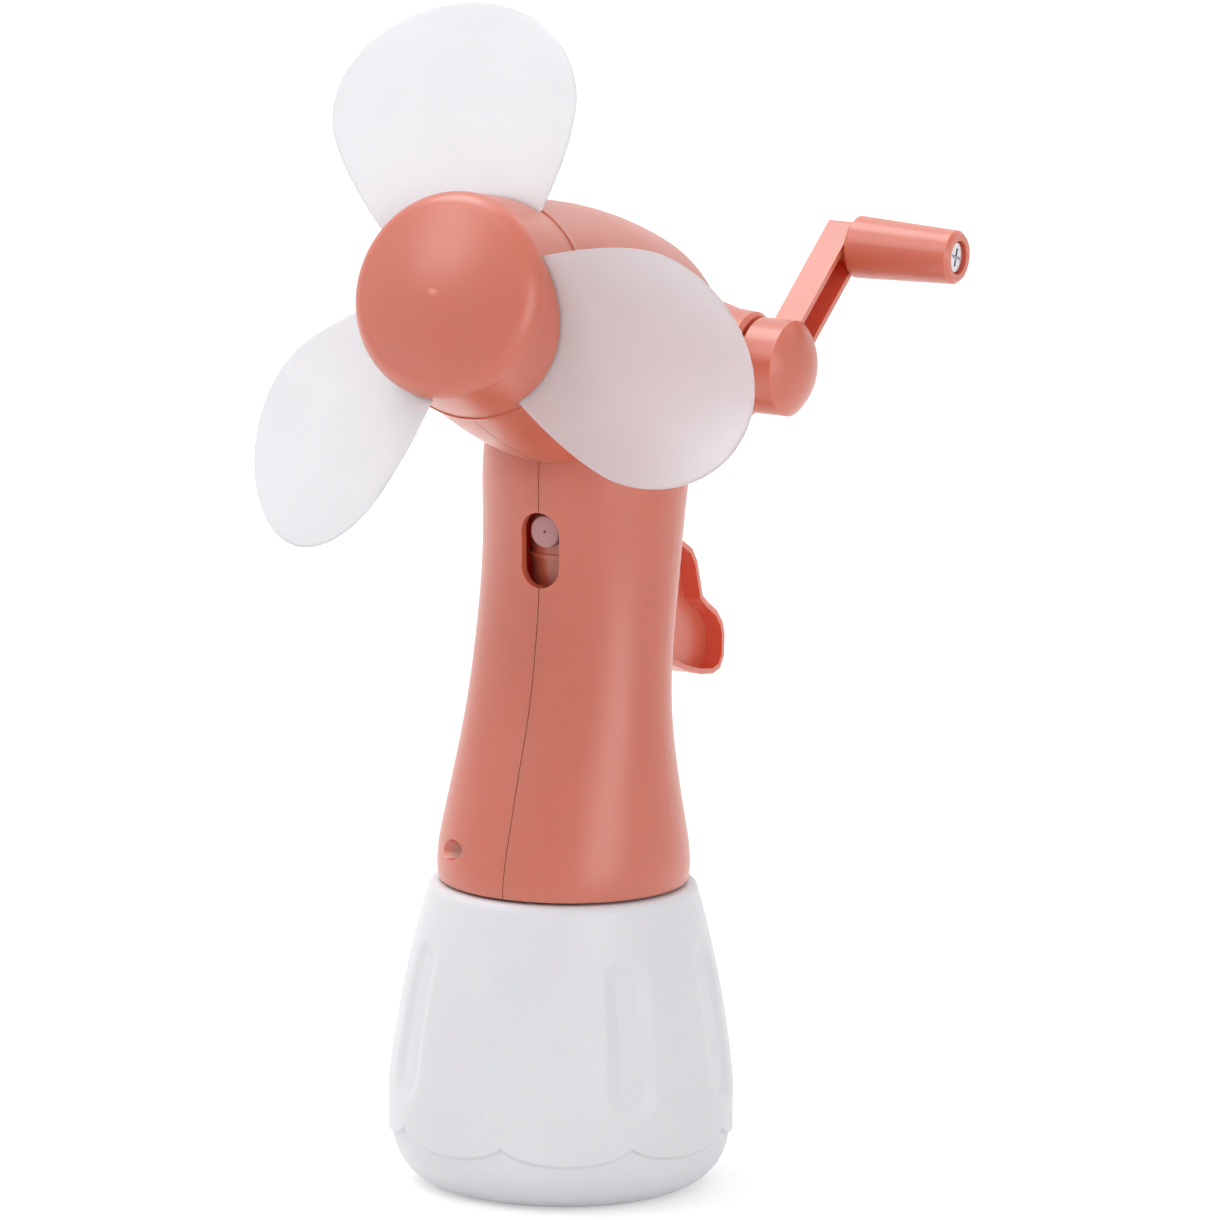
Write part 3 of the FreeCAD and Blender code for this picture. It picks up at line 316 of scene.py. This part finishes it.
FLUTES = 8
FLUTE_AZIMUTH = math.radians(8.5)
FLUTE_LOW = 18.5 * MM
FLUTE_HIGH = 52.0 * MM
FLUTE_HALF = 6.2 * MM       # half width at the bottom
FLUTE_TAPER = 0.8           # of that width at the top
FLUTE_DEPTH = 1.0 * MM
FLUTE_SLOPE = 0.62          # share of the half width over which it reaches that depth
HEM_STEP = 0.8 * MM         # the foot lies back from the skirt by this much
HEM_LOW = 10.5 * MM         # lowest place of each lobe
HEM_RISE = 3.2 * MM         # from there to the cusps between the lobes
HEM_ROUND = 0.94            # 0 for a flat hem, 1 for half ellipses
LIP_ROUND = [(0.45, 0.02), (0.16, 0.1), (0.03, 0.3)]    # in from the hem's edge and up, mm
HEM_LIP = 0.6 * MM

BOTTLE_COLUMNS = 384
FOOT_ROWS = 22
SKIRT_ROWS = 84
INSIDE_ROWS = 24
INSIDE_LOW = 3.0 * MM
INSIDE_HIGH = 58.6 * MM


def bottle_radius(z):
    """Radius of the bottle's skin at a height, without flutes."""
    if z < WIDE_LOW:
        centre_r, centre_z, radius = FOOT_ARC
        return centre_r + math.sqrt(max(0.0, radius ** 2 - (z - centre_z) ** 2))
    if z < WIDE_HIGH:
        return BOTTLE_R
    centre_r, centre_z, radius = SIDE_ARC
    return centre_r + math.sqrt(radius ** 2 - (z - centre_z) ** 2)


def hem_height(azimuth):
    """Height of the scalloped hem: lobes hang between the flutes."""
    step = 2 * math.pi / FLUTES
    place = ((azimuth - FLUTE_AZIMUTH) % step) / step * 2.0 - 1.0
    lobe = math.sqrt(max(0.0, 1.0 - HEM_ROUND * place * place))
    cusp = math.sqrt(1.0 - HEM_ROUND)
    return HEM_LOW + HEM_RISE * (1.0 - (lobe - cusp) / (1.0 - cusp))


def flute_depth(azimuth, z):
    """How far the skin is pressed in at a place."""
    step = 2 * math.pi / FLUTES
    aside = (azimuth - FLUTE_AZIMUTH + step / 2) % step - step / 2
    share = (z - FLUTE_LOW) / (FLUTE_HIGH - FLUTE_LOW)
    half = FLUTE_HALF * (1.0 + (FLUTE_TAPER - 1.0) * min(1.0, max(0.0, share)))
    across = aside * bottle_radius(z)
    nearest = min(max(z, FLUTE_LOW + half), FLUTE_HIGH - half)
    distance = math.hypot(across, z - nearest) / half
    return FLUTE_DEPTH * ease((1.0 - distance) / FLUTE_SLOPE)


def shoulder_and_neck():
    """Points (radius, height) from the top of the side, over the neck, to the inner shoulder."""
    shoulder = [(TOP_R - 0.1 * MM, 60.0 * MM), (TOP_R - 0.4 * MM, 60.6 * MM),
                (TOP_R - 0.9 * MM, 61.1 * MM), (TOP_R - 1.6 * MM, 61.35 * MM),
                (TOP_R - 2.4 * MM, SHOULDER_Z), (18.0 * MM, SHOULDER_Z),
                (NECK_R + 0.9 * MM, SHOULDER_Z), (NECK_R + 0.3 * MM, SHOULDER_Z + 0.3 * MM)]
    neck = [(NECK_R, SHOULDER_Z + 0.9 * MM), (NECK_R, 70.0 * MM), (NECK_R, NECK_TOP_Z - 0.5 * MM),
            (NECK_R - 0.15 * MM, NECK_TOP_Z - 0.15 * MM), (NECK_R - 0.5 * MM, NECK_TOP_Z)]
    bore = [(NECK_BORE_R + 0.4 * MM, NECK_TOP_Z), (NECK_BORE_R, NECK_TOP_Z - 0.4 * MM),
            (NECK_BORE_R, SHOULDER_Z), (NECK_BORE_R + 0.6 * MM, SHOULDER_Z - BOTTLE_WALL),
            (TOP_R - 2.6 * MM, SHOULDER_Z - BOTTLE_WALL)]
    return shoulder + neck + bore


def bottle_profile(azimuth):
    """Points (radius, height) from the outer bottom, over the neck, to the inner bottom."""
    hem = hem_height(azimuth)
    points = []
    for row in range(FOOT_ROWS + 1):
        z = hem * (1.0 - math.cos(row / FOOT_ROWS * math.pi / 2))
        points.append((bottle_radius(z) - HEM_STEP, z))
    edge = bottle_radius(hem)
    points += [(edge - inwards * MM, hem + up * MM) for inwards, up in LIP_ROUND]
    start = hem + HEM_LIP
    for row in range(SKIRT_ROWS + 1):
        z = start + (TOP_Z - start) * row / SKIRT_ROWS
        points.append((bottle_radius(z) - flute_depth(azimuth, z), z))
    points += shoulder_and_neck()
    inset = BOTTLE_WALL + HEM_STEP + 0.4 * MM
    for row in range(INSIDE_ROWS):
        z = INSIDE_HIGH - (INSIDE_HIGH - INSIDE_LOW) * row / (INSIDE_ROWS - 1)
        points.append((bottle_radius(z) - inset, z))
    points += [(FOOT_R - 1.5 * MM, BOTTLE_WALL), (FOOT_R * 0.5, BOTTLE_WALL)]
    return points


def make_bottle(material):
    columns = []
    for column in range(BOTTLE_COLUMNS):
        azimuth = 2 * math.pi * column / BOTTLE_COLUMNS
        out = (math.sin(azimuth), -math.cos(azimuth))
        columns.append([(r * out[0], r * out[1], z) for r, z in bottle_profile(azimuth)])
    rings = len(columns[0])
    points = [columns[column][ring] for ring in range(rings) for column in range(BOTTLE_COLUMNS)]
    points += [(0.0, 0.0, 0.0), (0.0, 0.0, BOTTLE_WALL)]
    faces = lathe_faces(rings, BOTTLE_COLUMNS, len(points) - 2, len(points) - 1)
    thread_points, thread_faces = screw_thread(len(points))
    return mesh_object("bottle_body_skin", points + thread_points, faces + thread_faces, material)


THREAD_PITCH = 3.0 * MM
THREAD_TURNS = 2.0
THREAD_Z = 68.5 * MM
THREAD_CREST = 12.9 * MM
THREAD_STEPS = 144
THREAD_OUTLINE = [(0.0, -0.95), (0.6, -0.6), (1.0, -0.35),      # share of its height, mm up
                  (1.0, 0.35), (0.6, 0.6), (0.0, 0.95)]


def screw_thread(first):
    """Raised thread on the neck, fading out at both ends. first is its first point's number."""
    root = NECK_R - 0.3 * MM
    points, faces = [], []
    for step in range(THREAD_STEPS + 1):
        share = step / THREAD_STEPS
        angle = 2 * math.pi * THREAD_TURNS * share
        fade = ease(min(share, 1.0 - share) * 12.0)
        for out, along in THREAD_OUTLINE:
            radius = root + (THREAD_CREST - root) * out * (0.25 + 0.75 * fade)
            z = THREAD_Z + THREAD_PITCH * THREAD_TURNS * share + along * MM
            points.append((radius * math.cos(angle), radius * math.sin(angle), z))
    count = len(THREAD_OUTLINE)
    for step in range(THREAD_STEPS):
        for side in range(count):
            after = (side + 1) % count
            a, b = first + step * count, first + (step + 1) * count
            faces.append((a + side, b + side, b + after, a + after))
    faces.append(tuple(first + side for side in range(count)))
    last = first + THREAD_STEPS * count
    faces.append(tuple(last + side for side in reversed(range(count))))
    return points, faces


# ---- fan blades --------------------------------------------------------------

TILT = math.radians(18.5)
AXES_MEET = Vector((0.0, 10.5 * MM, 167.6 * MM))
FAN_DIR = Vector((0.0, -math.cos(TILT), math.sin(TILT)))
FAN_UP = Vector((0.0, math.sin(TILT), math.cos(TILT)))
FAN_SIDE = Vector((1.0, 0.0, 0.0))

BLADES = 3                  # distances in a blade's own frame are in mm
BLADE_AZIMUTH = math.radians(105.7)     # first blade, from +X towards the top
BLADE_CENTRE = 39.1         # widest place, from the fan's axis
BLADE_TIP_LENGTH = 23.1
BLADE_HALF_WIDTH = 22.4
BLADE_NARROWING = 0.80      # share of the width lost from the widest place to the axis
BLADE_FLANK_POWER = 1.55
BLADE_HUB_R = 20.0          # skew, sweep and twist start here
BLADE_SKEW = 0.034
BLADE_S = 53.2              # station along the fan's axis
BLADE_SWEEP = -0.21
BLADE_PITCH_ROOT = 22.0     # degrees
BLADE_PITCH_TIP = 20.9
BLADE_CAMBER = 2.9          # bow at the half width
BLADE_THICKNESS = 0.9
BLADE_ROOT = 13.5           # the petal's inner end, inside the hub
BLADE_EDGE = 0.6            # the rim is rounded over this width
TIP_STEPS = 48              # points along one side of the tip's half ellipse
FLANK_STEPS = 26
ROOT_STEPS = 12
BLADE_RINGS = 26            # from the middle to the rim
BLADE_INNERMOST = 0.05      # scale of the smallest ring
EDGE_STEPS = 6              # rings round the rim


def fan_point(x, y, s, azimuth):
    """World place of a point x outwards and y along the turn, in mm, s along the axis."""
    side = x * math.cos(azimuth) - y * math.sin(azimuth)
    up = x * math.sin(azimuth) + y * math.cos(azimuth)
    return AXES_MEET + (FAN_SIDE * side + FAN_UP * up + FAN_DIR * s) * MM


def blade_station(x, y):
    """Height of the blade's middle surface along the fan's axis."""
    share = (x - BLADE_HUB_R) / (BLADE_CENTRE + BLADE_TIP_LENGTH - BLADE_HUB_R)
    pitch = BLADE_PITCH_ROOT + (BLADE_PITCH_TIP - BLADE_PITCH_ROOT) * share
    height = BLADE_S + BLADE_SWEEP * (x - BLADE_HUB_R) + y * math.tan(math.radians(pitch))
    return height + BLADE_CAMBER * (y / BLADE_HALF_WIDTH) ** 2


def petal_outline():
    """Closed outline: a half ellipse at the tip and flanks that narrow to the root."""
    side = []
    for step in range(1, TIP_STEPS + 1):
        turn = math.pi / 2 * step / TIP_STEPS
        x = BLADE_CENTRE + BLADE_TIP_LENGTH * math.cos(turn)
        side.append((x, BLADE_HALF_WIDTH * math.sin(turn)))
    root_share = 1.0 - BLADE_ROOT / BLADE_CENTRE
    for step in range(1, FLANK_STEPS + 1):
        inwards = root_share * step / FLANK_STEPS
        narrowed = BLADE_NARROWING * inwards ** BLADE_FLANK_POWER
        side.append((BLADE_CENTRE * (1 - inwards), BLADE_HALF_WIDTH * (1 - narrowed)))
    end_x, end_w = side[-1]
    root = [(end_x, end_w * (1 - 2 * step / ROOT_STEPS)) for step in range(1, ROOT_STEPS)]
    tip = [(BLADE_CENTRE + BLADE_TIP_LENGTH, 0.0)]
    around = tip + side + root + [(x, -w) for x, w in reversed(side)]
    return [(x, w + BLADE_SKEW * (x - BLADE_HUB_R)) for x, w in around]


def make_blade(k, material):
    """Thin petal with a rounded rim: its rings are the outline, shrunk towards its middle."""
    azimuth = BLADE_AZIMUTH + k * 2 * math.pi / BLADES
    outline = petal_outline()
    middle = BLADE_CENTRE - 2.0
    rim = 1.0 - BLADE_EDGE / BLADE_HALF_WIDTH
    span = rim - BLADE_INNERMOST
    scales = [BLADE_INNERMOST + span * ring / (BLADE_RINGS - 1) for ring in range(BLADE_RINGS)]
    scales += [rim + (1.0 - rim) * math.sin(step / EDGE_STEPS * math.pi / 2)
               for step in range(1, EDGE_STEPS + 1)]

    def ring_points(scale, side):
        over = max(0.0, (scale - rim) / (1.0 - rim))
        half = BLADE_THICKNESS / 2 * math.sqrt(max(0.0, 1.0 - over * over))
        ring = [(middle + (x - middle) * scale, y * scale) for x, y in outline]
        return [fan_point(x, y, blade_station(x, y) + side * half, azimuth) for x, y in ring]

    points = []
    for scale in scales:
        points += ring_points(scale, -1.0)
    for scale in reversed(scales[:-1]):
        points += ring_points(scale, 1.0)
    for side in (-1.0, 1.0):
        s = blade_station(middle, 0.0) + side * BLADE_THICKNESS / 2
        points.append(fan_point(middle, 0.0, s, azimuth))
    rings = 2 * len(scales) - 1
    faces = lathe_faces(rings, len(outline), len(points) - 2, len(points) - 1)
    return mesh_object("blade_%d_petal" % (k + 1), points, faces, material)


def replace(piece, node, body):
    """Shows a piece in place of a CAD node of the same body."""
    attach(piece, body)
    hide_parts(node)
    return piece


# ---- floor, world and lamps --------------------------------------------------

def seen_directly(tree):
    """1 for camera, glossy and transmission rays, and 0 for all others."""
    path = tree.nodes.new("ShaderNodeLightPath")
    total = path.outputs["Is Camera Ray"]
    for ray in ("Is Glossy Ray", "Is Transmission Ray"):
        either = tree.nodes.new("ShaderNodeMath")
        either.operation = "MAXIMUM"
        tree.links.new(total, either.inputs[0])
        tree.links.new(path.outputs[ray], either.inputs[1])
        total = either.outputs[0]
    return total


WORLD_LIGHT = 0.56


def make_world():
    """Soft light from all round, and plain white where the world itself is seen."""
    world = bpy.data.worlds.new("studio")
    bpy.context.scene.world = world
    world.use_nodes = True
    tree = world.node_tree
    light = tree.nodes["Background"]
    light.inputs["Strength"].default_value = WORLD_LIGHT
    white = tree.nodes.new("ShaderNodeBackground")
    for background in (light, white):
        background.inputs["Color"].default_value = (1.0, 1.0, 1.0, 1.0)
    white.inputs["Strength"].default_value = 1.0
    mix = tree.nodes.new("ShaderNodeMixShader")
    tree.links.new(seen_directly(tree), mix.inputs[0])
    tree.links.new(light.outputs[0], mix.inputs[1])
    tree.links.new(white.outputs[0], mix.inputs[2])
    tree.links.new(mix.outputs[0], tree.nodes["World Output"].inputs["Surface"])


FLOOR_HALF = 6.0
FLOOR_GLOW = 0.4            # added where the floor is seen, so that it reads as white


def make_floor():
    mesh = bpy.data.meshes.new("floor")
    half = FLOOR_HALF
    corners = [(-half, -half, 0), (half, -half, 0), (half, half, 0), (-half, half, 0)]
    mesh.from_pydata(corners, [], [(0, 1, 2, 3)])
    floor = bpy.data.objects.new("floor", mesh)
    bpy.context.collection.objects.link(floor)
    n = Nodes("floor_white")
    n.set(Base_Color=(0.86, 0.86, 0.86, 1.0), Roughness=0.8, Specular_IOR_Level=0.0)
    glow = n.add("ShaderNodeEmission")
    strength = n.add("ShaderNodeMath", operation="MULTIPLY")
    strength.inputs[1].default_value = FLOOR_GLOW
    n.link(seen_directly(n.tree), strength.inputs[0])
    n.link(strength.outputs[0], glow.inputs["Strength"])
    both = n.add("ShaderNodeAddShader")
    n.link(n.shader.outputs[0], both.inputs[0])
    n.link(glow.outputs[0], both.inputs[1])
    n.link(both.outputs[0], n.output.inputs["Surface"])
    mesh.materials.append(n.material)


LAMPS_AIM = Vector((0.0, 0.0, 0.12))
LAMPS = [                   # name, place, diameter in metres, watts
    ("key", (-0.8, -1.1, 1.4), 1.0, 6.0),
    ("fill", (1.6, -0.9, 0.5), 1.2, 7.5),
    ("top", (-0.6, 0.1, 1.45), 0.9, 8.5),
    ("back", (-0.1, 1.2, 1.4), 1.4, 4.0),
]


def area_lamp(name, place, size, power):
    data = bpy.data.lights.new(name, "AREA")
    data.shape = "DISK"
    data.size = size
    data.energy = power
    lamp = bpy.data.objects.new(name, data)
    bpy.context.collection.objects.link(lamp)
    place = Vector(place)
    turn = (place - LAMPS_AIM).to_track_quat("Z", "Y").to_matrix().to_4x4()
    lamp.matrix_world = Matrix.Translation(place) @ turn


# ---- the scene ---------------------------------------------------------------

make_camera()
make_world()
make_floor()
for lamp_facts in LAMPS:
    area_lamp(*lamp_facts)
bpy.context.scene.view_settings.view_transform = "Standard"
materials = node_materials()

replace(make_bottle(materials["white_pe"]), "bottle", "bottle_body")
for number in range(BLADES):
    petal = make_blade(number, materials["blade_eva"])
    replace(petal, "blade_%d" % (number + 1), "fan")
